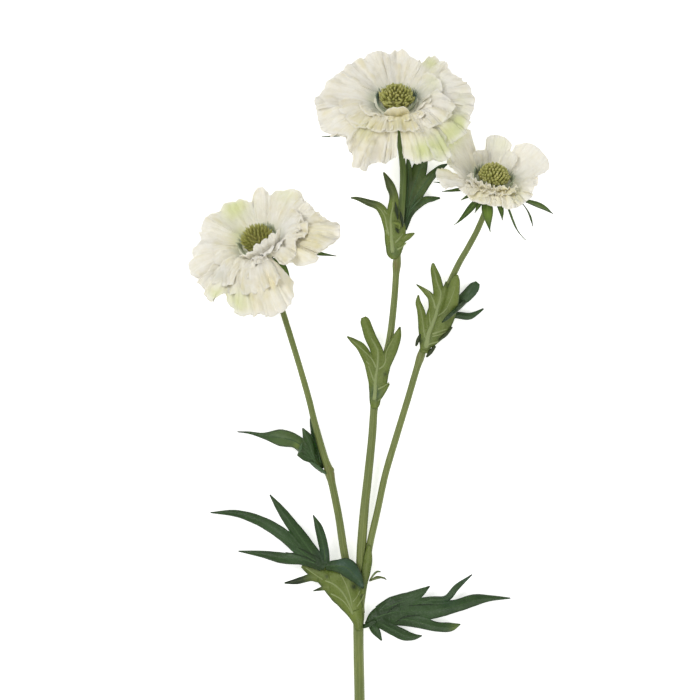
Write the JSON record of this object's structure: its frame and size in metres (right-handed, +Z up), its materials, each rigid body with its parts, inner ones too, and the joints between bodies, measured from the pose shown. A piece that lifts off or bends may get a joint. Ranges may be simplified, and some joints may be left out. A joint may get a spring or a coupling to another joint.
{
  "type": "scabiosa flower spray",
  "caption": "Cut scabiosa spray lying flat: a branching stem with ruffled cream blooms, domed olive discs ringed by stiff awns, narrow bracts and deeply cut leaves.",
  "frame": {"origin": "middle of the bounding box, on the surface that the spray lies on", "axes": "+Z up from the surface, +Y from the cut end of the stem towards the top bloom, +X across the spray towards the side bloom"},
  "size_m": [0.1874, 0.3624, 0.0402],
  "materials": {
    "petal_cream": "matt, soft",
    "disc_olive": "matt",
    "awn_grey_green": "matt",
    "calyx_green": "matt",
    "stem_green": "satin",
    "leaf_light_green": "satin",
    "leaf_dark_green": "satin"
  },
  "bodies": {
    "root": {"stem": "stem_green", "top_bloom_petals": "petal_cream", "top_bloom_disc": "disc_olive", "top_bloom_awns": "awn_grey_green", "top_bloom_calyx": "calyx_green", "left_bloom_petals": "petal_cream", "left_bloom_disc": "disc_olive", "left_bloom_awns": "awn_grey_green", "left_bloom_calyx": "calyx_green", "side_bloom_petals": "petal_cream", "side_bloom_disc": "disc_olive", "side_bloom_awns": "awn_grey_green", "side_bloom_calyx": "calyx_green", "base_left_leaf": "leaf_dark_green", "base_left_sheath": "leaf_light_green", "base_right_leaf": "leaf_dark_green", "left_branch_leaf": "leaf_dark_green", "centre_lower_leaf": "leaf_light_green", "centre_upper_leaf": "leaf_light_green", "centre_upper_back_leaf": "leaf_dark_green", "right_branch_leaf": "leaf_light_green", "right_branch_back_leaf": "leaf_dark_green", "fork_leaflet": "leaf_light_green"}
  },
  "joints": []
}
